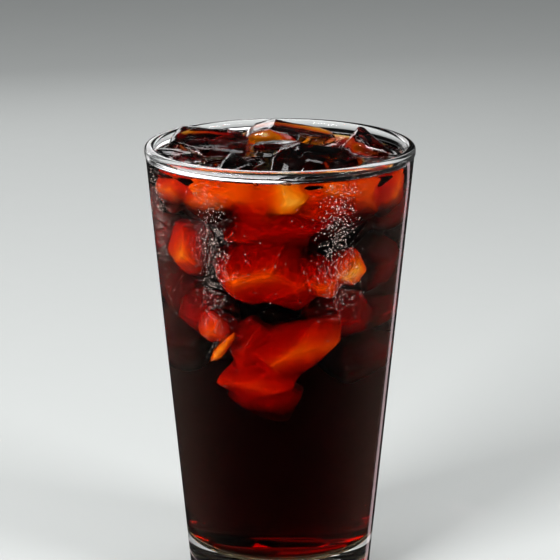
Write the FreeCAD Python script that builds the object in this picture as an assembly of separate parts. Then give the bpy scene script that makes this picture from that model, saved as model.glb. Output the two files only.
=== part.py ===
"""A cold brew coffee over ice, served in a tapered pint glass with a thick base.

The glass is one piece, turned about the Z axis and standing on Z = 0. The coffee fills it to a little
under the lip. Seven lumps of ice stand out of the coffee, and the coffee is cut round them. Each node
is one solid in its own STEP file. Lengths are in millimetres, and -Y is the side seen from the front.
"""

import FreeCAD
import Part

import math
import os
from dataclasses import dataclass

from FreeCAD import Rotation, Vector

# Glass: overall sizes
GLASS_HEIGHT = 149.0
RIM_RADIUS = 44.6
BASE_RADIUS = 30.9

# Glass: lip, a rounded bead a little thicker than the wall, and the share of its width that each of
# its two roundings may take at most
LIP_HEIGHT = 3.4
LIP_WIDTH = 3.3
LIP_PROUD = 0.35
LIP_ROUND = 1.5
LIP_ROUND_SHARE = 0.48
LIP_BLEND = 0.7

# Glass: wall and base
WALL_TOP = 2.5
WALL_FOOT = 3.2
FLOOR_THICKNESS = 12.2
FLOOR_ROUND = 6.0
BASE_ROUND = 2.4

# Glass: shallow hollow under the base, inside the ring that it stands on
PUNT_DEPTH = 2.6
PUNT_RADIUS = 24.0
PUNT_SLOPE = 7.0
PUNT_ROUND = 4.0
RING_ROUND = 1.2

# Coffee: its surface below the lip, and the meniscus that climbs the wall
SURFACE_BELOW_LIP = 4.6
MENISCUS_HEIGHT = 0.8
MENISCUS_REACH = 2.2

# Ice: clearances above the coffee, how far the melted part below draws in from the wall and over what
# height, how deep the lumps reach, and how they are worn
ICE_GAP = 1.0
ICE_WALL_GAP = 0.5
ICE_MELT_INSET = 4.5
ICE_MELT_RUN = 3.0
ICE_DEPTH = 15.0
ICE_ROUND_SHARE = 0.16
CHIP_COUNT = 6
CHIP_DEPTH = 0.80
CHIP_SPREAD = 0.10
GOLDEN_ANGLE = math.pi * (3.0 - math.sqrt(5.0))
FAR = 400.0


@dataclass(frozen=True)
class Lump:
    """A lump of ice before it gives way to its neighbours and to the wall.

    size holds its edge lengths, turn its yaw, pitch and roll in degrees, centre its place in plan, and
    rise how far its top stands above the coffee. A facet is a flat break: the azimuth and elevation
    that it faces, in degrees, and its distance from the lump's middle.
    """

    size: tuple
    turn: tuple
    centre: tuple
    rise: float
    facets: tuple = ()

    def reach(self):
        """The lump's radius in plan, which settles where it gives way to a neighbour."""
        return (self.size[0] + self.size[1]) / 4.0


ICE_LUMPS = {
    "ice_back_left": Lump((33, 23, 20), (-8, 4, 10), (-21.0, 13.5), 6.2, ((20, 40, 14.0),)),
    "ice_back": Lump((36, 20, 22), (2, 12, 4), (0.0, 28.0), 6.0, ((176, 45, 13.5), (178, 75, 12.0))),
    "ice_centre": Lump((25, 18, 19), (24, -6, -5), (-3.5, 12.0), 3.4, ((230, 60, 9.0),)),
    "ice_front_right": Lump(
        (34, 26, 24), (-12, 8, 6), (11.0, -8.5), 6.0, ((200, 42, 12.0), (335, 40, 12.5), (80, 55, 12.0))),
    "ice_back_right": Lump((17, 20, 25), (25, 16, 14), (26.0, 12.0), 6.8, ((170, 38, 8.5), (20, 20, 8.5))),
    "ice_left": Lump((17, 19, 18), (18, 8, 7), (-33.0, -4.5), 3.0),
    "ice_front_left": Lump((15, 15, 17), (30, -14, 10), (-16.5, -13.5), 3.4, ((180, 45, 7.0),)),
}

# What follows from the sizes above
LIP_BASE = GLASS_HEIGHT - LIP_HEIGHT
WALL_TOP_RADIUS = RIM_RADIUS - LIP_PROUD
INNER_TOP_RADIUS = WALL_TOP_RADIUS - WALL_TOP
WALL_SLOPE = (WALL_TOP_RADIUS - BASE_RADIUS) / LIP_BASE
FLOOR_RADIUS = BASE_RADIUS + WALL_SLOPE * FLOOR_THICKNESS - WALL_FOOT
COFFEE_LEVEL = GLASS_HEIGHT - SURFACE_BELOW_LIP


def inner_radius(z):
    """Radius of the glass's straight inner wall at height z."""
    share = (z - FLOOR_THICKNESS) / (LIP_BASE - FLOOR_THICKNESS)
    return FLOOR_RADIUS + share * (INNER_TOP_RADIUS - FLOOR_RADIUS)


def rounded_corner(before, corner, after, radius):
    """Start, middle and end of the arc that rounds a corner between two straight runs."""
    to_before = (before - corner).normalize()
    to_after = (after - corner).normalize()
    half_angle = to_before.getAngle(to_after) / 2.0
    run = radius / math.tan(half_angle)
    bisector = (to_before + to_after).normalize()
    centre = corner + bisector * (radius / math.sin(half_angle))
    return corner + to_before * run, centre - bisector * radius, corner + to_after * run


def outline(corners):
    """Edges of an open outline in the XZ plane, through (radius, height, rounding) corners."""
    points = [Vector(r, 0, z) for r, z, _ in corners]
    edges = []
    reached = points[0]
    for i in range(1, len(points) - 1):
        rounding = corners[i][2]
        if rounding:
            start, middle, end = rounded_corner(points[i - 1], points[i], points[i + 1], rounding)
            edges.append(Part.LineSegment(reached, start).toShape())
            edges.append(Part.Arc(start, middle, end).toShape())
            reached = end
        else:
            edges.append(Part.LineSegment(reached, points[i]).toShape())
            reached = points[i]
    edges.append(Part.LineSegment(reached, points[-1]).toShape())
    return edges


def turned(edges):
    """Solid of revolution about Z of an outline that starts and ends on the axis."""
    first = edges[0].Vertexes[0].Point
    last = edges[-1].Vertexes[-1].Point
    closed = edges + [Part.LineSegment(last, first).toShape()]
    face = Part.Face(Part.Wire(Part.__sortEdges__(closed)))
    solid = face.revolve(Vector(0, 0, 0), Vector(0, 0, 1), 360)
    return Part.Solid(solid) if solid.ShapeType != "Solid" else solid


def make_glass():
    """The pint glass: punt, standing ring, tapered wall, rounded lip, inner wall and thick floor."""
    lip_inner_radius = RIM_RADIUS - LIP_WIDTH
    lip_low = LIP_BASE + LIP_BLEND
    lip_round = min(LIP_ROUND, LIP_ROUND_SHARE * LIP_WIDTH)
    corners = [
        (0, PUNT_DEPTH, 0),
        (PUNT_RADIUS - PUNT_SLOPE, PUNT_DEPTH, PUNT_ROUND),
        (PUNT_RADIUS, 0, RING_ROUND),
        (BASE_RADIUS, 0, BASE_ROUND),
        (WALL_TOP_RADIUS, LIP_BASE, 0),
        (RIM_RADIUS, lip_low, LIP_BLEND),
        (RIM_RADIUS, GLASS_HEIGHT, lip_round),
        (lip_inner_radius, GLASS_HEIGHT, lip_round),
        (lip_inner_radius, lip_low, LIP_BLEND),
        (INNER_TOP_RADIUS, LIP_BASE, 0),
        (FLOOR_RADIUS, FLOOR_THICKNESS, FLOOR_ROUND),
        (0, FLOOR_THICKNESS, 0),
    ]
    return turned(outline(corners))


def make_fill():
    """What the glass holds up to the coffee's surface, with the meniscus at the wall."""
    meniscus_top = COFFEE_LEVEL + MENISCUS_HEIGHT
    wall_radius = inner_radius(meniscus_top)
    edges = outline([
        (0, FLOOR_THICKNESS, 0),
        (FLOOR_RADIUS, FLOOR_THICKNESS, FLOOR_ROUND),
        (wall_radius, meniscus_top, 0),
    ])
    climb_start = Vector(wall_radius - MENISCUS_REACH, 0, COFFEE_LEVEL)
    climb_end = Vector(wall_radius, 0, meniscus_top)
    chord = climb_end - climb_start
    sag = Vector(chord.z, 0, -chord.x).normalize() * chord.Length * 0.12
    climb_middle = (climb_start + climb_end) * 0.5 + sag
    edges.append(Part.Arc(climb_end, climb_middle, climb_start).toShape())
    edges.append(Part.LineSegment(climb_start, Vector(0, 0, COFFEE_LEVEL)).toShape())
    return turned(edges)


def make_ice_room():
    """The space that ice may take: clear of the wall, drawn in under the coffee, and open at the top."""
    top = GLASS_HEIGHT + FAR / 10.0
    bottom = COFFEE_LEVEL - ICE_DEPTH
    melted = COFFEE_LEVEL - ICE_MELT_RUN
    narrow = min(INNER_TOP_RADIUS, RIM_RADIUS - LIP_WIDTH) - ICE_WALL_GAP
    return turned(outline([
        (0, bottom, 0),
        (inner_radius(bottom) - ICE_WALL_GAP - ICE_MELT_INSET, bottom, 0),
        (inner_radius(melted) - ICE_WALL_GAP - ICE_MELT_INSET, melted, 0),
        (inner_radius(COFFEE_LEVEL) - ICE_WALL_GAP, COFFEE_LEVEL, 0),
        (narrow, LIP_BASE, 0),
        (narrow, top, 0),
        (0, top, 0),
    ]))


def half_space(point, outward):
    """A large box that fills the side of the plane through point that outward points to."""
    box = Part.makeBox(FAR, FAR, FAR, Vector(-FAR / 2, -FAR / 2, 0))
    box.Placement = FreeCAD.Placement(point, Rotation(Vector(0, 0, 1), outward))
    return box


def chip_directions(seed):
    """Unit vectors spread over a sphere, turned by seed, along which a lump is chipped."""
    for k in range(CHIP_COUNT):
        height = 1.0 - 2.0 * (k + 0.5) / CHIP_COUNT
        across = math.sqrt(1.0 - height * height)
        angle = GOLDEN_ANGLE * (k + 2.3 * seed)
        yield Vector(across * math.cos(angle), across * math.sin(angle), height)


def direction_of(azimuth, elevation):
    """Unit vector at an azimuth from +X towards +Y and an elevation above the level, in degrees."""
    turn, lift = math.radians(azimuth), math.radians(elevation)
    return Vector(math.cos(turn) * math.cos(lift), math.sin(turn) * math.cos(lift), math.sin(lift))


def make_lump(lump, seed):
    """One lump of ice: a worn block, chipped, turned, broken, and set with its top above the coffee."""
    length, width, depth = lump.size
    block = Part.makeBox(length, width, depth, Vector(-length / 2, -width / 2, -depth / 2))
    block = block.makeFillet(ICE_ROUND_SHARE * min(lump.size), block.Edges)
    half_diagonal = Vector(length, width, depth).Length / 2
    for k, direction in enumerate(chip_directions(seed)):
        reach = half_diagonal * (CHIP_DEPTH + CHIP_SPREAD * math.sin(1.7 * k + seed))
        block = block.cut(half_space(direction * reach, direction))
    block.Placement = FreeCAD.Placement(Vector(0, 0, 0), Rotation(*lump.turn))
    for azimuth, elevation, distance in lump.facets:
        direction = direction_of(azimuth, elevation)
        block = block.cut(half_space(direction * distance, direction))
    middle_to_top = block.optimalBoundingBox(False).ZMax
    block.translate(Vector(*lump.centre, COFFEE_LEVEL + lump.rise - middle_to_top))
    return block


def part_from_neighbour(block, lump, other):
    """Cuts a block back to its own side of the upright plane between it and a neighbour."""
    away = Vector(other.centre[0] - lump.centre[0], other.centre[1] - lump.centre[1], 0)
    distance = away.Length
    away.normalize()
    share = (distance ** 2 + lump.reach() ** 2 - other.reach() ** 2) / (2.0 * distance)
    edge = Vector(*lump.centre, COFFEE_LEVEL) + away * (share - ICE_GAP / 2)
    return block.cut(half_space(edge, away))


def make_ice():
    """All the lumps that stand out of the coffee, by node name, clear of the wall and each other."""
    room = make_ice_room()
    made = {}
    for seed, (name, lump) in enumerate(ICE_LUMPS.items(), start=1):
        block = make_lump(lump, seed).common(room)
        for other_name, other in ICE_LUMPS.items():
            if other_name != name:
                block = part_from_neighbour(block, lump, other)
        made[name] = block
    return made


def one_solid(shape, name):
    """The single solid in a shape, checked to be valid."""
    if len(shape.Solids) != 1 or not shape.Solids[0].isValid():
        raise ValueError(f"{name} came out as {len(shape.Solids)} solids, or an invalid one")
    return shape.Solids[0]


def main():
    """Builds every node and writes its STEP file."""
    nodes = {"glass": make_glass()}
    ice = make_ice()
    coffee = make_fill()
    for lump in ice.values():
        coffee = coffee.cut(lump)
    nodes["coffee"] = coffee
    nodes.update(ice)
    os.makedirs("parts", exist_ok=True)
    for name, shape in nodes.items():
        solid = one_solid(shape, name)
        solid.exportStep(f"parts/{name}.step")
        box = solid.BoundBox
        print(f"{name}: {solid.Volume / 1000:.2f} cm3, Z {box.ZMin:.2f} to {box.ZMax:.2f}, "
              f"{box.XLength:.1f} x {box.YLength:.1f} x {box.ZLength:.1f} mm")


main()
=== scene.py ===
"""Iced cold brew coffee in a tapered pint glass: its looks, in metres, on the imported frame."""

import logging
import math
import random
from collections.abc import Iterable
from dataclasses import dataclass

import bmesh
import bpy
from mathutils import Euler, Matrix, Vector, noise


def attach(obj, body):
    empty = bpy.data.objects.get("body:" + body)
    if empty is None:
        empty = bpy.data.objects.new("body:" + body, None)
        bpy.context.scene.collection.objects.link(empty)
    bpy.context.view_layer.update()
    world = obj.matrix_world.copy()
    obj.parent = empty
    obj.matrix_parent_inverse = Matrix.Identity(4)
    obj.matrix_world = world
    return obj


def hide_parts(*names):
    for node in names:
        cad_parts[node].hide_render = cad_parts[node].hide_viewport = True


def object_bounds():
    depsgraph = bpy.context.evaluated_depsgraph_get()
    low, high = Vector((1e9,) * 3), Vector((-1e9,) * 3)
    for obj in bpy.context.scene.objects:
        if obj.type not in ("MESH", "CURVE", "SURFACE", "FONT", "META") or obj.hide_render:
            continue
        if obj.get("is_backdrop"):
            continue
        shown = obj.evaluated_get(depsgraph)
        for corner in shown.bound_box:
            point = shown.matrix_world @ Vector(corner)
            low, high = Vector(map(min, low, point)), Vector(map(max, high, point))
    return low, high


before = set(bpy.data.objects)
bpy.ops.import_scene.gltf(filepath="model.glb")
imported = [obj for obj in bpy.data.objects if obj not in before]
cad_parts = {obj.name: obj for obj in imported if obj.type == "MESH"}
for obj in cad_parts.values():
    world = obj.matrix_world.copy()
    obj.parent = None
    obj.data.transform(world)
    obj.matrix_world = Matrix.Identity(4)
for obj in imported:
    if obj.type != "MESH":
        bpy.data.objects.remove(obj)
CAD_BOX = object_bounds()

LOG = logging.getLogger("cold_brew")
MM = 0.001
BODY = "root"

# In metres: points nearer than MERGE are one, and a length under TINY counts for nothing.
MERGE = 1e-7
TINY = 1e-6


# ---------------------------------------------------------------- small tools


def linear(hex_colour: str) -> tuple[float, float, float, float]:
    """Turns an sRGB hex colour into the linear colour that a socket takes.

    Args:
        hex_colour: Six hex digits, such as "E8ECEA".

    Returns:
        Red, green, blue and an alpha of one.
    """
    parts = [int(hex_colour[i : i + 2], 16) / 255 for i in (0, 2, 4)]
    return (*[p / 12.92 if p <= 0.04045 else ((p + 0.055) / 1.055) ** 2.4 for p in parts], 1.0)


def add_node(
    tree: bpy.types.NodeTree, kind: str, settings: dict | None = None, links: dict | None = None
) -> bpy.types.Node:
    """Adds a node, sets its properties and sockets, and links what feeds it.

    Args:
        tree: The node tree that it goes into.
        kind: The node's type, such as "ShaderNodeTexNoise".
        settings: Property or socket name to value; a socket may also be named by its number.
        links: Input socket, by name or number, to the output socket that feeds it.

    Returns:
        The new node.
    """
    node = tree.nodes.new(kind)
    for name, value in (settings or {}).items():
        if isinstance(name, int) or name in node.inputs:
            node.inputs[name].default_value = value
        else:
            setattr(node, name, value)
    for name, source in (links or {}).items():
        tree.links.new(source, node.inputs[name])
    return node


def new_material(name: str) -> tuple[bpy.types.Material, bpy.types.NodeTree, bpy.types.Node]:
    """Starts a material with one Principled shader.

    Args:
        name: The finish's name.

    Returns:
        The material, its node tree and its Principled shader.
    """
    material = bpy.data.materials.new(name)
    material.use_nodes = True
    tree = material.node_tree
    return material, tree, tree.nodes["Principled BSDF"]


def object_point(tree: bpy.types.NodeTree) -> bpy.types.NodeSocket:
    """The socket that gives the place on the object, in metres."""
    return add_node(tree, "ShaderNodeTexCoord").outputs["Object"]


def ramped(
    tree: bpy.types.NodeTree, factor: bpy.types.NodeSocket, stops: list[tuple[float, str]]
) -> bpy.types.NodeSocket:
    """Turns a number into a colour.

    Args:
        tree: The node tree.
        factor: The socket that gives the number.
        stops: The numbers, rising, and their sRGB hex colours.

    Returns:
        The socket that gives the colour.
    """
    node = add_node(tree, "ShaderNodeValToRGB", links={"Fac": factor})
    elements = node.color_ramp.elements
    for element, (position, colour) in zip(elements, (stops[0], stops[-1])):
        element.position = position
        element.color = linear(colour)
    for position, colour in stops[1:-1]:
        elements.new(position).color = linear(colour)
    return node.outputs[0]


def finish_mesh(
    bm: bmesh.types.BMesh, name: str, materials: list[bpy.types.Material]
) -> bpy.types.Object:
    """Turns a bmesh into a piece that rides on the body.

    Args:
        bm: The shape, which is freed.
        name: The piece's name.
        materials: Its finishes, in the order of the faces' material numbers.

    Returns:
        The piece.
    """
    for face in bm.faces:
        face.smooth = True
    mesh = bpy.data.meshes.new(name)
    bm.to_mesh(mesh)
    bm.free()
    piece = bpy.data.objects.new(name, mesh)
    bpy.context.scene.collection.objects.link(piece)
    for material in materials:
        mesh.materials.append(material)
    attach(piece, BODY)
    LOG.info("%s: %d faces", name, len(mesh.polygons))
    return piece


def modified(mesh: bpy.types.Mesh, modifiers: list[tuple[str, dict]]) -> bpy.types.Mesh:
    """Applies modifiers to a mesh.

    Args:
        mesh: The mesh to start from, which is removed.
        modifiers: Each modifier's type and its settings.

    Returns:
        The finished mesh.
    """
    holder = bpy.data.objects.new("holder", mesh)
    bpy.context.scene.collection.objects.link(holder)
    for kind, settings in modifiers:
        modifier = holder.modifiers.new(kind.lower(), kind)
        for name, value in settings.items():
            setattr(modifier, name, value)
    made = bpy.data.meshes.new_from_object(holder.evaluated_get(bpy.context.evaluated_depsgraph_get()))
    bpy.data.objects.remove(holder)
    bpy.data.meshes.remove(mesh)
    return made


def joined(shapes: Iterable[bmesh.types.BMesh]) -> bmesh.types.BMesh:
    """Joins shapes into one.

    Args:
        shapes: The shapes, which are freed.

    Returns:
        The joined shape.
    """
    whole = bmesh.new()
    for shape in shapes:
        mesh = bpy.data.meshes.new("shape")
        shape.to_mesh(mesh)
        shape.free()
        whole.from_mesh(mesh)
        bpy.data.meshes.remove(mesh)
    return whole


@dataclass(frozen=True)
class Corner:
    """A corner of a turned outline, in millimetres, with the radius and the steps of its rounding."""

    radius: float
    height: float
    rounding: float = 0.0
    steps: int = 6

    def point(self) -> Vector:
        """The corner in the XZ plane, in metres."""
        return Vector((self.radius * MM, 0.0, self.height * MM))


def turned(corners: list[Corner], sides: int = 256) -> bmesh.types.BMesh:
    """Turns an outline about Z and rounds its corners.

    Args:
        corners: The outline, from the axis and back to it.
        sides: The steps of the full turn.

    Returns:
        The closed shape.
    """
    bm = bmesh.new()
    verts = [bm.verts.new(corner.point()) for corner in corners]
    edges = [bm.edges.new(pair) for pair in zip(verts, verts[1:])]
    bmesh.ops.spin(
        bm, geom=verts + edges, cent=(0, 0, 0), axis=(0, 0, 1), angle=math.tau, steps=sides, use_merge=True
    )
    bmesh.ops.remove_doubles(bm, verts=bm.verts, dist=MERGE)
    for before, corner, after in zip(corners, corners[1:], corners[2:]):
        if corner.rounding:
            angle = (before.point() - corner.point()).angle(after.point() - corner.point())
            ring = [
                edge for edge in bm.edges
                if all(
                    abs(v.co.xy.length - corner.radius * MM) < 2 * TINY
                    and abs(v.co.z - corner.height * MM) < 2 * TINY
                    for v in edge.verts
                )
            ]
            bmesh.ops.bevel(
                bm, geom=ring, offset=corner.rounding * MM / math.tan(angle / 2), offset_type="OFFSET",
                segments=corner.steps, profile=0.5, affect="EDGES", material=-1, clamp_overlap=False,
            )
    bmesh.ops.recalc_face_normals(bm, faces=bm.faces)
    return bm


# ---------------------------------------------------------------- finishes


@dataclass(frozen=True)
class SodaLimeGlass:
    """Pressed and fire-polished soda-lime glass: clear, hard and bright at its edges.

    Where the coffee wets it, the two are so alike in refraction that the wall gives no reflection. Elsewhere
    the shine is the share of its mirror image that is left when dark cards stand round it. The pressed wall
    has faint waves, of a scale per metre and a depth in metres, which bend its highlights a little.
    """

    ior: float = 1.52
    wetted: bool = False
    shine: float = 0.15
    wave_scale: float = 45.0
    wave_depth: float = 0.0002
    wave_strength: float = 0.25

    def make(self) -> bpy.types.Material:
        """Makes the material.

        Returns:
            The material.
        """
        material, tree, shader = new_material("wetted_glass" if self.wetted else "clear_glass")
        shader.inputs["Base Color"].default_value = (1.0, 1.0, 1.0, 1.0)
        shader.inputs["Transmission Weight"].default_value = 1.0
        shader.inputs["Roughness"].default_value = 0.0
        shader.inputs["IOR"].default_value = self.ior
        shine = 0.0 if self.wetted else self.shine
        shader.inputs["Specular Tint"].default_value = (shine, shine, shine, 1.0)
        if not self.wetted:
            waves = add_node(
                tree, "ShaderNodeTexNoise", {"Scale": self.wave_scale, "Detail": 1.0},
                {"Vector": object_point(tree)},
            )
            bump = add_node(
                tree, "ShaderNodeBump", {"Strength": self.wave_strength, "Distance": self.wave_depth},
                {"Height": waves.outputs[0]},
            )
            tree.links.new(bump.outputs[0], shader.inputs["Normal"])
        return material


@dataclass(frozen=True)
class ColdBrew:
    """Filtered cold brew: a clear liquid that lets red through for a few millimetres and then turns black.

    The absorption is per metre, for red, green and blue. Only the free surface mirrors what is round it, with
    a ripple of a scale per metre and a depth in metres. The density is held a little over the highest
    absorption, so that no channel of the volume's colour is quite nought.
    """

    ior: float = 1.34
    absorption: tuple[float, float, float] = (85.0, 460.0, 1500.0)
    density_margin: float = 1.02
    ripple_scale: float = 70.0
    ripple_depth: float = 0.0001

    def make(self) -> bpy.types.Material:
        """Makes the material.

        Returns:
            The material.
        """
        material, tree, shader = new_material("cold_brew")
        shader.inputs["Base Color"].default_value = (1.0, 1.0, 1.0, 1.0)
        shader.inputs["Transmission Weight"].default_value = 1.0
        shader.inputs["Roughness"].default_value = 0.0
        shader.inputs["IOR"].default_value = self.ior
        free = add_node(tree, "ShaderNodeAttribute", {"attribute_name": "free_surface"})
        tree.links.new(free.outputs["Fac"], shader.inputs["Specular Tint"])
        ripple = add_node(
            tree, "ShaderNodeTexNoise", {"Scale": self.ripple_scale, "Detail": 1.0},
            {"Vector": object_point(tree)},
        )
        bump = add_node(
            tree, "ShaderNodeBump", {"Distance": self.ripple_depth},
            {"Height": ripple.outputs[0], "Strength": free.outputs["Fac"]},
        )
        tree.links.new(bump.outputs[0], shader.inputs["Normal"])
        density = max(self.absorption) * self.density_margin
        passed = [1.0 - value / density for value in self.absorption]
        volume = add_node(tree, "ShaderNodeVolumeAbsorption", {"Color": (*passed, 1.0), "Density": density})
        tree.links.new(volume.outputs[0], tree.nodes["Material Output"].inputs["Volume"])
        return material


@dataclass(frozen=True)
class ClearIce:
    """Wet ice straight out of the drink: clear, with melted dimples and a few hazy patches.

    Haze and dimples have a scale per metre, and the dimples a depth in metres.
    """

    ior: float = 1.31
    wetted: bool = False
    colour: str = "F4F8F8"
    haze_scale: float = 90.0
    haze_range: tuple[float, float] = (0.5, 0.8)
    haze_roughness: tuple[float, float] = (0.02, 0.25)
    dimple_scale: float = 260.0
    dimple_depth: float = 0.0004
    dimple_strength: float = 0.35

    def make(self) -> bpy.types.Material:
        """Makes the material.

        Returns:
            The material.
        """
        material, tree, shader = new_material("wetted_ice" if self.wetted else "clear_ice")
        shader.inputs["Base Color"].default_value = linear(self.colour)
        shader.inputs["Transmission Weight"].default_value = 1.0
        shader.inputs["IOR"].default_value = self.ior
        shader.inputs["Roughness"].default_value = 0.0
        if self.wetted:
            shader.inputs["Specular Tint"].default_value = (0.0, 0.0, 0.0, 1.0)
            return material
        place = object_point(tree)
        haze = add_node(
            tree, "ShaderNodeTexNoise", {"Scale": self.haze_scale, "Detail": 3.0}, {"Vector": place}
        )
        start, end = self.haze_range
        clear, hazy = self.haze_roughness
        amount = add_node(
            tree, "ShaderNodeMapRange", {"From Min": start, "From Max": end, "To Min": clear, "To Max": hazy},
            {"Value": haze.outputs[0]},
        )
        tree.links.new(amount.outputs[0], shader.inputs["Roughness"])
        dimples = add_node(
            tree, "ShaderNodeTexNoise", {"Scale": self.dimple_scale, "Detail": 2.0}, {"Vector": place}
        )
        bump = add_node(
            tree, "ShaderNodeBump", {"Strength": self.dimple_strength, "Distance": self.dimple_depth},
            {"Height": dimples.outputs[0]},
        )
        tree.links.new(bump.outputs[0], shader.inputs["Normal"])
        return material


@dataclass(frozen=True)
class CloudyIce:
    """Ice with a white, scattering cloudy core of trapped air, darkened by painted shade towards its edges.

    The mesh's attribute says how far painted shade darkens it, and the stops run from the dark painted shade
    at the edges to the white core. The trapped air is uneven on a scale per metre, and light spreads so many
    metres inside it.
    """

    # The first, dark stop is painted shade at the blocks' edges; the last is the white of the cloudy core.
    stops: tuple[tuple[float, str], ...] = ((0.05, "4E3A32"), (0.55, "D8CEC4"), (0.9, "FFFEFC"))
    cloud_scale: float = 160.0
    cloud_roughness: float = 0.55
    unevenness: float = 0.22
    roughness: float = 0.6
    spread: float = 0.0012

    def make(self) -> bpy.types.Material:
        """Makes the material.

        Returns:
            The material.
        """
        material, tree, shader = new_material("cloudy_ice_painted_shade")
        place = object_point(tree)
        grain = add_node(
            tree, "ShaderNodeTexNoise",
            {"Scale": self.cloud_scale, "Detail": 3.0, "Roughness": self.cloud_roughness}, {"Vector": place},
        )
        cloud_and_painted_shade = add_node(tree, "ShaderNodeAttribute", {"attribute_name": "cloud_and_painted_shade"})
        uneven = add_node(
            tree, "ShaderNodeMapRange", {"To Min": -self.unevenness, "To Max": self.unevenness},
            {"Value": grain.outputs[0]},
        )
        mixed = add_node(
            tree, "ShaderNodeMath", {"operation": "ADD"}, {0: cloud_and_painted_shade.outputs["Fac"], 1: uneven.outputs[0]}
        )
        # Painted shade: the ramp turns the attribute into colour, dark at the blocks' edges and white in
        # their cores.
        tree.links.new(ramped(tree, mixed.outputs[0], list(self.stops)), shader.inputs["Base Color"])
        shader.inputs["Roughness"].default_value = self.roughness
        shader.inputs["Specular IOR Level"].default_value = 0.0
        shader.inputs["Subsurface Weight"].default_value = 1.0
        shader.inputs["Subsurface Radius"].default_value = (1.0, 1.0, 1.0)
        shader.inputs["Subsurface Scale"].default_value = self.spread
        return material


@dataclass(frozen=True)
class Dew:
    """Fine water drops: clear lenses, a little milky for being so small.

    Without roughness it is the film of an air bubble. Its pink tint is a painted reflection of the red glow
    that the drops refract, and it varies from drop to drop.
    """

    ior: float = 1.33
    roughness: float = 0.3
    clearness: float = 0.45
    patch_scale: float = 900.0
    # Painted reflection: the pink stands in for the red glow seen through the drops.
    stops: tuple[tuple[float, str], ...] = ((0.3, "D8B4A8"), (0.7, "FFEDE6"))

    def make(self) -> bpy.types.Material:
        """Makes the material.

        Returns:
            The material.
        """
        material, tree, shader = new_material("dew" if self.roughness else "bubble_film")
        painted_pink_noise = add_node(
            tree, "ShaderNodeTexNoise", {"Scale": self.patch_scale}, {"Vector": object_point(tree)}
        )
        tree.links.new(ramped(tree, painted_pink_noise.outputs[0], list(self.stops)), shader.inputs["Base Color"])
        shader.inputs["Transmission Weight"].default_value = self.clearness if self.roughness else 1.0
        shader.inputs["Roughness"].default_value = self.roughness
        shader.inputs["IOR"].default_value = self.ior
        return material


# ---------------------------------------------------------------- glass and coffee


@dataclass(frozen=True)
class PintGlass:
    """The pint glass, in millimetres.

    It has a thick base with a hollow inside the ring that it stands on, a tapered wall and a beaded lip. The
    rings are heights at which the wall has an edge. A face within touch of the inside counts as wetted.
    """

    height: float = 149.0
    rim_radius: float = 44.6
    base_radius: float = 30.9
    lip_height: float = 3.4
    lip_width: float = 3.3
    lip_proud: float = 0.35
    lip_blend: float = 0.7
    wall_top: float = 2.5
    wall_foot: float = 3.2
    floor: float = 12.2
    floor_round: float = 6.0
    floor_flat: float = 12.0
    base_round: float = 2.4
    hollow_depth: float = 2.6
    hollow_radius: float = 17.0
    hollow_round: float = 4.0
    ring_radius: float = 24.0
    ring_round: float = 1.2
    lip_round: float = 1.5
    blend_round: float = 0.7
    coffee_below_lip: float = 4.6
    meniscus: float = 0.8
    outside_rings: tuple[float, ...] = (8.0, 20.0, 50.0, 85.0, 120.0, 138.0)
    inside_rings: tuple[float, ...] = (24.0, 50.0, 85.0, 120.0, 138.0)
    touch: float = 0.1

    @property
    def lip_base(self) -> float:
        """Height at which the lip's bead starts."""
        return self.height - self.lip_height

    @property
    def level(self) -> float:
        """Height of the coffee's surface."""
        return self.height - self.coffee_below_lip

    def outer_radius(self, z: float) -> float:
        """Radius of the outside of the wall at height z."""
        slope = (self.rim_radius - self.lip_proud - self.base_radius) / self.lip_base
        return self.base_radius + slope * z

    def inner_radius(self, z: float) -> float:
        """Radius of the inside of the wall at height z."""
        foot = self.outer_radius(self.floor) - self.wall_foot
        top = self.rim_radius - self.lip_proud - self.wall_top
        return foot + (top - foot) * (z - self.floor) / (self.lip_base - self.floor)

    def build(self) -> bpy.types.Object:
        """Builds the glass.

        Returns:
            The glass, with its wetted wall in a finish of its own.
        """
        lip_inner = self.rim_radius - self.lip_width
        wet_top = self.level + self.meniscus
        outside = [Corner(self.outer_radius(z), z) for z in self.outside_rings]
        inside = [Corner(self.inner_radius(z), z) for z in (wet_top, *reversed(self.inside_rings))]
        bm = turned([
            Corner(0.0, self.hollow_depth),
            Corner(self.hollow_radius, self.hollow_depth, self.hollow_round, 4),
            Corner(self.ring_radius, 0.0, self.ring_round, 4),
            Corner(self.base_radius, 0.0, self.base_round, 8),
            *outside,
            Corner(self.outer_radius(self.lip_base), self.lip_base),
            Corner(self.rim_radius, self.lip_base + self.lip_blend, self.blend_round, 4),
            Corner(self.rim_radius, self.height, self.lip_round, 8),
            Corner(lip_inner, self.height, self.lip_round, 8),
            Corner(lip_inner, self.lip_base + self.lip_blend, self.blend_round, 4),
            Corner(self.inner_radius(self.lip_base), self.lip_base),
            *inside,
            Corner(self.inner_radius(self.floor), self.floor, self.floor_round, 10),
            Corner(self.floor_flat, self.floor),
            Corner(0.0, self.floor),
        ])
        for face in bm.faces:
            middle = face.calc_center_median()
            radius = middle.xy.length / MM
            z = middle.z / MM
            inside_wall = radius < self.inner_radius(max(z, self.floor)) + self.touch
            face.material_index = int(self.floor - self.touch < z < wet_top and inside_wall)
        finishes = [SodaLimeGlass().make(), SodaLimeGlass(wetted=True).make()]
        piece = finish_mesh(bm, "pint_glass", finishes)
        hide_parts("glass")
        return piece


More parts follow.
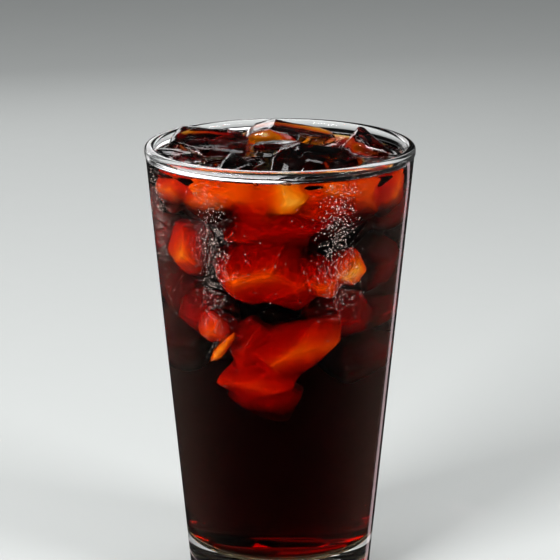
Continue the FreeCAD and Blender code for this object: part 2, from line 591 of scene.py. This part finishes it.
@dataclass(frozen=True)
class Coffee:
    """The coffee, which reaches just into the wall and is hollowed for each lump of ice that stands in it.

    A face at the level that faces up at least so much is part of the free surface.
    """

    glass: PintGlass
    reach: float = 0.15
    surface_curve: float = 2.0
    surface_foot: float = 0.7
    surface_flat: float = 30.0
    top_ring: float = 143.5
    upward: float = 0.3

    def build(self, hollows: bpy.types.Mesh) -> bpy.types.Object:
        """Builds the coffee.

        Args:
            hollows: The shapes of the ice, which are cut away.

        Returns:
            The coffee.
        """
        glass = self.glass
        top = glass.level + glass.meniscus
        bottom = glass.floor - self.reach
        rounding = glass.floor_round + self.reach
        walls = [Corner(glass.inner_radius(z) + self.reach, z) for z in (*glass.inside_rings, self.top_ring)]
        bm = turned([
            Corner(0.0, bottom),
            Corner(glass.floor_flat, bottom),
            Corner(glass.inner_radius(glass.floor) + self.reach, bottom, rounding, 10),
            *walls,
            Corner(glass.inner_radius(top) + self.reach, top),
            Corner(glass.inner_radius(top) - self.surface_foot, glass.level, self.surface_curve, 6),
            Corner(self.surface_flat, glass.level),
            Corner(0.0, glass.level),
        ])
        mesh = bpy.data.meshes.new("coffee_fill")
        bm.to_mesh(mesh)
        bm.free()
        cutter = bpy.data.objects.new("hollows", hollows)
        bpy.context.scene.collection.objects.link(cutter)
        settings = {"operation": "DIFFERENCE", "object": cutter, "solver": "MANIFOLD"}
        mesh = modified(mesh, [("BOOLEAN", settings)])
        bpy.data.objects.remove(cutter)
        bm = bmesh.new()
        bm.from_mesh(mesh)
        bpy.data.meshes.remove(mesh)
        free = bm.faces.layers.float.new("free_surface")
        level = glass.level * MM
        for face in bm.faces:
            face[free] = float(face.calc_center_median().z > level - TINY and face.normal.z > self.upward)
        piece = finish_mesh(bm, "cold_brew", [ColdBrew().make()])
        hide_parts("coffee")
        return piece


# ---------------------------------------------------------------- ice


def melted(bm: bmesh.types.BMesh, grain: float, wear: int, dimple: float, scale: float) -> bmesh.types.BMesh:
    """Wears the edges of ice round and dimples its faces.

    Args:
        bm: The ice, which is freed.
        grain: The size of the new mesh's faces, in millimetres.
        wear: The number of times that it is smoothed.
        dimple: The depth of the dimples, in millimetres.
        scale: The scale of the dimples, per metre.

    Returns:
        The melted shape.
    """
    mesh = bpy.data.meshes.new("ice")
    bm.to_mesh(mesh)
    bm.free()
    mesh = modified(mesh, [
        ("REMESH", {"mode": "VOXEL", "voxel_size": grain * MM}),
        ("SMOOTH", {"factor": 0.5, "iterations": wear}),
    ])
    bm = bmesh.new()
    bm.from_mesh(mesh)
    bpy.data.meshes.remove(mesh)
    bm.normal_update()
    for vert, move in [(v, v.normal * (noise.noise(v.co * scale) * dimple * MM)) for v in bm.verts]:
        vert.co += move
    return bm


@dataclass(frozen=True)
class StandingIce:
    """The lumps of ice that stand out of the coffee, worn and dimpled by melting.

    Each reaches a little into the coffee round it, so that no air gap shows. The coffee is hollowed only down
    to the clear depth, and below it the ice looks as dark as the drink.
    """

    level: float
    nodes: tuple[str, ...] = (
        "ice_back_left", "ice_back", "ice_centre", "ice_front_right", "ice_back_right", "ice_left",
        "ice_front_left",
    )
    grain: float = 0.7
    wear: int = 5
    dimple: float = 0.35
    dimple_scale: float = 140.0
    overlap: float = 0.06
    clear_depth: float = 2.0

    def worn(self, node: str) -> bpy.types.Mesh:
        """Melts a lump.

        Args:
            node: The name of the frame's lump.

        Returns:
            The melted mesh.
        """
        bm = bmesh.new()
        bm.from_mesh(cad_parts[node].data)
        bmesh.ops.remove_doubles(bm, verts=bm.verts, dist=TINY)
        bm = melted(bm, self.grain, self.wear, self.dimple, self.dimple_scale)
        mesh = bpy.data.meshes.new("lump")
        bm.to_mesh(mesh)
        bm.free()
        return mesh

    def build(self) -> bpy.types.Mesh:
        """Builds the lumps.

        Returns:
            The joined shape of their hollows in the coffee.
        """
        finishes = [ClearIce().make(), ClearIce(wetted=True).make()]
        whole = bmesh.new()
        for node in self.nodes:
            mesh = self.worn(node)
            whole.from_mesh(mesh)
            bm = bmesh.new()
            bm.from_mesh(mesh)
            bpy.data.meshes.remove(mesh)
            bm.normal_update()
            for vert, normal in [(v, v.normal.copy()) for v in bm.verts]:
                vert.co += normal * (self.overlap * MM)
            for face in bm.faces:
                face.material_index = int(face.calc_center_median().z < self.level * MM)
            piece = finish_mesh(bm, node.replace("ice_", "lump_"), finishes)
            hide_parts(node)
        cut = bmesh.ops.bisect_plane(
            whole, geom=[*whole.verts, *whole.edges, *whole.faces], dist=MERGE,
            plane_co=(0, 0, (self.level - self.clear_depth) * MM), plane_no=(0, 0, 1), clear_inner=True,
        )
        bmesh.ops.holes_fill(whole, edges=[e for e in cut["geom_cut"] if isinstance(e, bmesh.types.BMEdge)])
        bmesh.ops.triangulate(whole, faces=[f for f in whole.faces if len(f.verts) > 4])
        hollows = bpy.data.meshes.new("hollows")
        whole.to_mesh(hollows)
        whole.free()
        return hollows


@dataclass(frozen=True)
class Block:
    """A sunk block of ice.

    Its bearing about Z and its height; the coffee between it and the wall; its edge lengths, in millimetres;
    how it is turned, in degrees; and how far the white middle of its painted shade lies off its middle, along
    the wall and up, as shares of its half size.
    """

    bearing: float
    height: float
    cover: float
    size: tuple[float, float, float]
    turn: tuple[float, float, float]
    core: tuple[float, float] = (0.0, 0.0)


@dataclass(frozen=True)
class SunkIce:
    """The broken ice that lies under the surface, one joined piece.

    The blocks in front have places of their own. Those behind lie in tiers, each a height, a number of
    blocks and their mean size in millimetres. A block is a ball that is cut flat: by facets, which lean away
    from the way to the wall, round its sides, and where corners broke off. The cuts' depths are shares of
    its size. Its white core is darkened by painted shade from core end out to full painted shade, which are
    shares of its half size. A skin of coffee lies over the ice, even near the wall and deeper towards the
    middle.
    """

    glass: PintGlass
    blocks: tuple[Block, ...] = (
        # A block's last pair moves its unshaded white off its middle, so that the painted shade falls more on
        # one side.
        Block(-98, 115, 2.7, (24, 25, 25), (8, 0, 8), (-0.3, 0.1)),
        Block(-77, 111, 4.0, (22, 26, 17), (14, 0, -8), (-0.3, -0.3)),
        Block(-77, 89, 2.2, (22, 28, 18), (24, 0, -8), (-0.1, 0.3)),
        Block(-106, 77, 3.8, (20, 24, 15), (6, 0, 8), (-0.2, 0.5)),
        Block(-101, 69, 8.5, (16, 20, 14), (-6, 0, 8), (0.0, 0.7)),
        Block(-130, 94, 2.6, (12, 12, 11), (15, 0, 10), (0.1, 0.2)),
        Block(-122, 88, 1.3, (3.4, 16, 2.8), (50, 0, 0)),
        Block(-113, 89, 6.0, (14, 12, 18), (-20, 0, 10), (0.2, 0.2)),
        Block(-148, 119, 1.1, (14, 17, 19), (6, 0, 10), (0.0, 0.2)),
        Block(-52, 115, 0.9, (12, 13, 13), (25, 0, 8), (-0.2, 0.0)),
        Block(-66, 110, 2.2, (11, 11, 11), (-20, 0, 8)),
        Block(-87, 140, 0.4, (9, 14, 12), (45, 0, 0)),
        Block(-118, 141.5, 2.2, (5, 24, 9), (3, 0, 0), (-0.3, 0.0)),
        Block(-101, 141, 3.5, (5, 18, 9), (-3, 0, 0)),
        Block(-70, 141, 3.3, (5, 20, 9), (4, 0, 0)),
        Block(-52, 141.5, 2.0, (5, 20, 9), (-3, 0, 0), (0.2, 0.0)),
        Block(-127, 138, 2.0, (14, 20, 17), (8, 0, 8), (0.2, 0.6)),
        Block(-106, 138, 4.2, (14, 20, 16), (-8, 0, -8), (0.0, 0.5)),
        Block(-67, 138, 3.8, (14, 22, 15), (8, 0, 6), (0.0, 0.6)),
        Block(-46, 138, 1.9, (14, 18, 18), (-12, 0, -8), (0.0, 0.7)),
        Block(-152, 139, 1.6, (12, 18, 15), (10, 0, 8), (0.0, 0.6)),
        Block(-25, 138, 1.4, (12, 18, 18), (0, 0, -8), (0.0, 0.5)),
        Block(-90, 129, 5.4, (16, 32, 12), (8, 0, 6), (0.2, 0.0)),
        Block(-38, 97, 9.0, (16, 18, 18), (12, 0, 10), (0.0, 0.2)),
        Block(-150, 97, 7.0, (14, 16, 18), (12, 0, 10), (0.0, 0.2)),
    )
    tiers: tuple[tuple[float, int, float], ...] = ((130, 8, 17), (115, 7, 21), (99, 6, 21), (86, 4, 17))
    far_bearings: tuple[float, float] = (-4.0, 184.0)
    far_cover: tuple[float, float] = (1.4, 7.5)
    far_size: tuple[float, float] = (0.6, 1.35)
    far_rise: tuple[float, float] = (-7.0, 6.0)
    far_turn: float = 35.0
    far_sway: float = 0.3
    ball: float = 0.62
    facets: int = 3
    facet_lean: tuple[float, float] = (22.0, 48.0)
    facet_sway: float = 0.2
    facet_depth: float = 0.43
    first_facet_depth: float = 0.36
    lit_side: float = 130.0
    sides: int = 5
    side_lean: float = 0.3
    side_sway: float = 0.3
    side_depth: tuple[float, float] = (0.38, 0.48)
    breaks: int = 3
    break_depth: tuple[float, float] = (0.4, 0.52)
    break_spare: float = 0.15
    # Painted shade darkens the white core from core end out to full painted shade, both shares of half size.
    core_end: float = 0.35
    full_painted_shade: float = 1.4
    ragged: float = 0.35
    ragged_scale: float = 110.0
    skin: float = 0.1
    skin_slope: float = 1.4
    skin_flat: float = 4.0
    grain: float = 1.0
    wear: int = 3
    dimple: float = 0.6
    dimple_scale: float = 120.0
    seed: int = 11

    def far_blocks(self) -> list[Block]:
        """Lays out the blocks at the sides and the back.

        Returns:
            The blocks, tier by tier.
        """
        chance = random.Random(self.seed)
        low, high = self.far_bearings
        made = []
        for height, count, mean in self.tiers:
            for k in range(count):
                sway = chance.uniform(-self.far_sway, self.far_sway)
                bearing = low + (high - low) * (k + 0.5 + sway) / count
                size = tuple(mean * chance.uniform(*self.far_size) for _ in range(3))
                turn = tuple(chance.uniform(-self.far_turn, self.far_turn) for _ in range(3))
                rise = chance.uniform(*self.far_rise)
                made.append(Block(bearing, height + rise, chance.uniform(*self.far_cover), size, turn))
        return made

    def cuts(self, block: Block) -> list[tuple[Vector, float]]:
        """Draws the cuts that turn a ball into a block, whose X faces the wall.

        Args:
            block: The block.

        Returns:
            Each cut's normal and its distance from the middle.
        """
        chance = random.Random(f"{self.seed} {block.bearing:.3f} {block.height:.3f}")
        made = []
        for k in range(self.facets):
            lean = math.radians(chance.uniform(*self.facet_lean))
            sway = chance.uniform(-self.facet_sway, self.facet_sway)
            side = math.radians(self.lit_side) + math.tau * (k + sway) / self.facets
            way = Vector((math.cos(lean), math.sin(lean) * math.cos(side), math.sin(lean) * math.sin(side)))
            made.append((way, self.facet_depth if k else self.first_facet_depth))
        for k in range(self.sides):
            side = math.tau * (k + chance.uniform(-self.side_sway, self.side_sway)) / self.sides
            lean = chance.uniform(-self.side_lean, self.side_lean)
            way = Vector((lean, math.cos(side), math.sin(side))).normalized()
            made.append((way, chance.uniform(*self.side_depth)))
        for _ in range(self.breaks):
            way = Vector([chance.gauss(0, 1) for _ in range(3)]).normalized()
            made.append((way, chance.uniform(*self.break_depth) + self.break_spare * max(way.x, 0.0)))
        return made

    def broken(self, block: Block) -> bmesh.types.BMesh:
        """Builds a block with some of its corners broken off, in its place.

        Args:
            block: The block.

        Returns:
            The block's shape.
        """
        glass = self.glass
        bm = bmesh.new()
        bmesh.ops.create_icosphere(bm, subdivisions=4, radius=self.ball)
        for way, depth in self.cuts(block):
            cut = bmesh.ops.bisect_plane(
                bm, geom=[*bm.verts, *bm.edges, *bm.faces], dist=TINY, plane_co=way * depth, plane_no=way,
                clear_outer=True,
            )
            bmesh.ops.holes_fill(bm, edges=[e for e in cut["geom_cut"] if isinstance(e, bmesh.types.BMEdge)])
        bmesh.ops.scale(bm, vec=Vector(block.size) * MM, verts=bm.verts)
        bmesh.ops.rotate(bm, matrix=Euler([math.radians(a) for a in block.turn]).to_matrix(), verts=bm.verts)
        place = (glass.inner_radius(block.height) * MM, 0, block.height * MM)
        bmesh.ops.translate(bm, vec=place, verts=bm.verts)
        over = max(v.co.xy.length / MM - glass.inner_radius(v.co.z / MM) for v in bm.verts)
        bmesh.ops.translate(bm, vec=(-(over + block.cover) * MM, 0, 0), verts=bm.verts)
        bmesh.ops.rotate(bm, matrix=Matrix.Rotation(math.radians(block.bearing), 3, "Z"), verts=bm.verts)
        return bm

    def cloud_and_painted_shade(self, block: Block, point: Vector) -> float:
        """How white a block is at a point, where painted shade darkens it towards its edge.

        Args:
            block: The block.
            point: The point, in metres.

        Returns:
            One in the block's core, falling to nought, full painted shade, at its edge.
        """
        around = Matrix.Rotation(math.radians(-block.bearing), 3, "Z") @ point / MM
        across = Euler([math.radians(a) for a in block.turn]).to_matrix().inverted() @ Vector(
            (0.0, around.y, around.z - block.height)
        )
        beside = 2.0 * across.y / block.size[1] - block.core[0]
        above = 2.0 * across.z / block.size[2] - block.core[1]
        far = (abs(beside) ** 3 + abs(above) ** 3) ** (1 / 3)
        far += self.ragged * noise.noise(point * self.ragged_scale)
        share = (self.full_painted_shade - far) / (self.full_painted_shade - self.core_end)
        return min(max(share, 0.0), 1.0) if around.x > 0 else 0.0

    def build(self) -> bpy.types.Object:
        """Builds the sunk ice.

        Returns:
            The joined piece.
        """
        blocks = [*self.blocks, *self.far_blocks()]
        ice = joined(self.broken(block) for block in blocks)
        bm = melted(ice, self.grain, self.wear, self.dimple, self.dimple_scale)
        wall = self.glass.inner_radius(self.glass.level)
        for vert in bm.verts:
            inward = wall - vert.co.xy.length / MM
            roof = self.glass.level - self.skin - self.skin_slope * max(inward - self.skin_flat, 0.0)
            vert.co.z = min(vert.co.z, roof * MM)
        # Painted shade: each vertex gets how white its block leaves it, darkening towards the block's edge.
        cloud_and_painted_shade = bm.verts.layers.float.new("cloud_and_painted_shade")
        for vert in bm.verts:
            vert[cloud_and_painted_shade] = max(self.cloud_and_painted_shade(block, vert.co) for block in blocks)
        return finish_mesh(bm, "sunk_ice", [CloudyIce().make()])


# ---------------------------------------------------------------- water


@dataclass(frozen=True)
class Patch:
    """A patch of dew on the wall: its middle bearing and height, its half spreads, and its drops at most."""

    bearing: float
    height: float
    spread: tuple[float, float]
    count: int


@dataclass(frozen=True)
class Condensation:
    """Fine dew on the outside of the glass, in patches, one joined piece.

    The drops have half sizes from smallest to largest, in millimetres. They lie flat on the wall and are
    drawn out a little in height. Few of them lie outside a patch's half spreads.
    """

    glass: PintGlass
    patches: tuple[Patch, ...] = (
        Patch(-121, 122, (8, 24), 750),
        Patch(-65, 130, (7, 20), 600),
        Patch(-58, 112, (8, 8), 110),
        Patch(-156, 130, (9, 18), 420),
        Patch(-88, 118, (60, 26), 130),
        Patch(25, 125, (12, 22), 650),
        Patch(95, 128, (14, 20), 650),
        Patch(150, 124, (12, 22), 500),
    )
    lowest: float = 20.0
    lip_gap: float = 1.0
    gather: float = 0.6
    group: int = 60
    smallest: float = 0.08
    largest: float = 0.17
    flatness: float = 0.6
    tallness: tuple[float, float] = (0.9, 1.2)
    seed: int = 5

    def build(self) -> bpy.types.Object:
        """Builds the dew.

        Returns:
            The joined piece.
        """
        chance = random.Random(self.seed)
        glass = self.glass
        groups = []
        for patch in self.patches:
            for number in range(patch.count):
                if number % self.group == 0:
                    groups.append(bmesh.new())
                bearing = math.radians(chance.gauss(patch.bearing, patch.spread[0] * self.gather))
                z = chance.gauss(patch.height, patch.spread[1] * self.gather)
                if not self.lowest < z < glass.lip_base - self.lip_gap:
                    continue
                size = self.smallest + (self.largest - self.smallest) * chance.random() ** 3
                out = Matrix.Translation((glass.outer_radius(z) * MM, 0, z * MM))
                place = Matrix.Rotation(bearing, 4, "Z") @ out
                tall = chance.uniform(*self.tallness)
                shape = Matrix.Diagonal((size * self.flatness * MM, size * MM, size * tall * MM, 1.0))
                bmesh.ops.create_icosphere(groups[-1], subdivisions=1, radius=1.0, matrix=place @ shape)
        bm = joined(groups)
        return finish_mesh(bm, "dew", [Dew().make()])


@dataclass(frozen=True)
class Bubbles:
    """The few air bubbles that cling where the coffee meets the glass, one joined piece."""

    glass: PintGlass
    bearings: tuple[float, ...] = (-101, -99.5, -88, -86.5, -85.8, -131, -60, -44, 12, 40, 77, 108, 141, 176)
    radii: tuple[float, float] = (0.55, 1.05)
    wall_gap: float = 0.1
    rise: float = 0.75
    seed: int = 3

    def build(self) -> bpy.types.Object:
        """Builds the bubbles.

        Returns:
            The joined piece.
        """
        chance = random.Random(self.seed)
        bm = bmesh.new()
        for bearing in self.bearings:
            size = chance.uniform(*self.radii)
            radius = self.glass.inner_radius(self.glass.level) - size - self.wall_gap
            place = Matrix.Rotation(math.radians(bearing), 4, "Z") @ Matrix.Translation(
                (radius * MM, 0, (self.glass.level + size * self.rise) * MM)
            )
            bmesh.ops.create_icosphere(bm, subdivisions=3, radius=size * MM, matrix=place)
        return finish_mesh(bm, "bubbles", [Dew(roughness=0.0).make()])


# ---------------------------------------------------------------- studio


@dataclass(frozen=True)
class Softbox:
    """A soft light: its place, what it faces, its size in metres, and its power in watts.

    A light for shine only gives a highlight and leaves the floor as it is.
    """

    name: str
    place: tuple[float, float, float]
    target: tuple[float, float, float]
    size: tuple[float, float]
    power: float
    colour: str = "FFFFFF"
    shine_only: bool = False

    def build(self) -> None:
        """Hangs the light."""
        data = bpy.data.lights.new(self.name, "AREA")
        data.shape = "RECTANGLE"
        data.size, data.size_y = self.size
        data.energy = self.power
        data.color = linear(self.colour)[:3]
        light = bpy.data.objects.new(self.name, data)
        bpy.context.scene.collection.objects.link(light)
        light.location = self.place
        light.rotation_euler = (Vector(self.target) - Vector(self.place)).to_track_quat("-Z", "Y").to_euler()
        light.visible_camera = False
        light.visible_diffuse = not self.shine_only


@dataclass(frozen=True)
class Studio:
    """A pale floor, soft light and the camera.

    Mirrored and refracted rays see the air dimmed to their shares, and mirrored rays don't see the floor.
    This stands in for the dark cards that are set round glass in a studio.
    """

    eye: tuple[float, float, float] = (0.0, -0.642, 0.282)
    tilt: float = 15.64
    lens: float = 127.8
    sensor: float = 36.0
    clear_bounces: int = 40
    glossy_bounces: int = 8
    diffuse_bounces: int = 4
    floor_half: float = 6.0
    floor_colour: str = "9A9C9B"
    floor_roughness: tuple[float, float] = (0.7, 0.8)
    mottle_scale: float = 30.0
    air_colour: str = "E4E7E8"
    air_strength: float = 0.6
    ray_shares: tuple[tuple[str, float], ...] = (("Is Glossy Ray", 0.04), ("Is Transmission Ray", 0.23))
    lights: tuple[Softbox, ...] = (
        Softbox("front_left", (-0.9, -0.9, 0.5), (0.0, 0.0, 0.08), (0.6, 0.6), 54.0),
        Softbox("front_right", (0.9, -0.5, 0.4), (0.0, 0.0, 0.08), (0.4, 0.5), 20.0),
        Softbox("overhead", (-0.1, 0.3, 1.0), (0.0, 0.05, 0.1), (0.8, 0.5), 6.0),
        Softbox("back", (-0.24, 0.9, 0.4), (0.0, 0.0, 0.14), (0.5, 0.28), 1.1),
        Softbox("right_strip", (0.078, 0.062, 0.03), (0.03, 0.0, 0.06), (0.016, 0.17), 0.01, "F6DCE2", True),
    )

    def camera(self) -> None:
        """Sets up the camera."""
        data = bpy.data.cameras.new("camera")
        data.lens = self.lens
        data.sensor_width = self.sensor
        camera = bpy.data.objects.new("camera", data)
        bpy.context.scene.collection.objects.link(camera)
        camera.location = self.eye
        camera.rotation_euler = (math.radians(90.0 - self.tilt), 0.0, 0.0)
        bpy.context.scene.camera = camera

    def film(self) -> None:
        """Sets up how the light is traced and shown."""
        scene = bpy.context.scene
        scene.view_settings.view_transform = "Standard"
        scene.cycles.max_bounces = self.clear_bounces
        scene.cycles.transmission_bounces = self.clear_bounces
        scene.cycles.glossy_bounces = self.glossy_bounces
        scene.cycles.diffuse_bounces = self.diffuse_bounces

    def air(self) -> None:
        """Sets up the light that comes from all round."""
        world = bpy.data.worlds.new("air")
        bpy.context.scene.world = world
        world.use_nodes = True
        tree = world.node_tree
        air = tree.nodes["Background"]
        air.inputs["Color"].default_value = linear(self.air_colour)
        path = add_node(tree, "ShaderNodeLightPath")
        strength = add_node(tree, "ShaderNodeValue").outputs[0]
        strength.default_value = self.air_strength
        for ray, share in self.ray_shares:
            factor = add_node(
                tree, "ShaderNodeMapRange", {"To Min": 1.0, "To Max": share}, {"Value": path.outputs[ray]}
            )
            strength = add_node(
                tree, "ShaderNodeMath", {"operation": "MULTIPLY"}, {0: strength, 1: factor.outputs[0]}
            ).outputs[0]
        tree.links.new(strength, air.inputs["Strength"])

    def floor(self) -> None:
        """Lays the floor, matt and a little uneven in its sheen."""
        bm = bmesh.new()
        bmesh.ops.create_grid(bm, x_segments=1, y_segments=1, size=self.floor_half)
        mesh = bpy.data.meshes.new("floor")
        bm.to_mesh(mesh)
        bm.free()
        floor = bpy.data.objects.new("floor", mesh)
        bpy.context.scene.collection.objects.link(floor)
        material, tree, shader = new_material("matt_floor")
        mottle = add_node(
            tree, "ShaderNodeTexNoise", {"Scale": self.mottle_scale}, {"Vector": object_point(tree)}
        )
        low, high = self.floor_roughness
        rough = add_node(
            tree, "ShaderNodeMapRange", {"To Min": low, "To Max": high}, {"Value": mottle.outputs[0]}
        )
        tree.links.new(rough.outputs[0], shader.inputs["Roughness"])
        shader.inputs["Base Color"].default_value = linear(self.floor_colour)
        mesh.materials.append(material)
        floor.visible_glossy = False
        floor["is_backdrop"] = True

    def build(self) -> None:
        """Sets up the air, the lights and the floor."""
        self.film()
        self.air()
        for light in self.lights:
            light.build()
        self.floor()


def main() -> None:
    """Builds the studio and the drink."""
    logging.basicConfig(level=logging.INFO, format="%(name)s: %(message)s")
    studio = Studio()
    studio.camera()
    glass = PintGlass()
    glass.build()
    hollows = StandingIce(glass.level).build()
    Coffee(glass).build(hollows)
    SunkIce(glass).build()
    Condensation(glass).build()
    Bubbles(glass).build()
    studio.build()
    plain = lambda box: [list(corner) for corner in box]
    {"cad": plain(CAD_BOX), "visual": plain(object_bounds())}


if __name__ == "__main__":
    main()
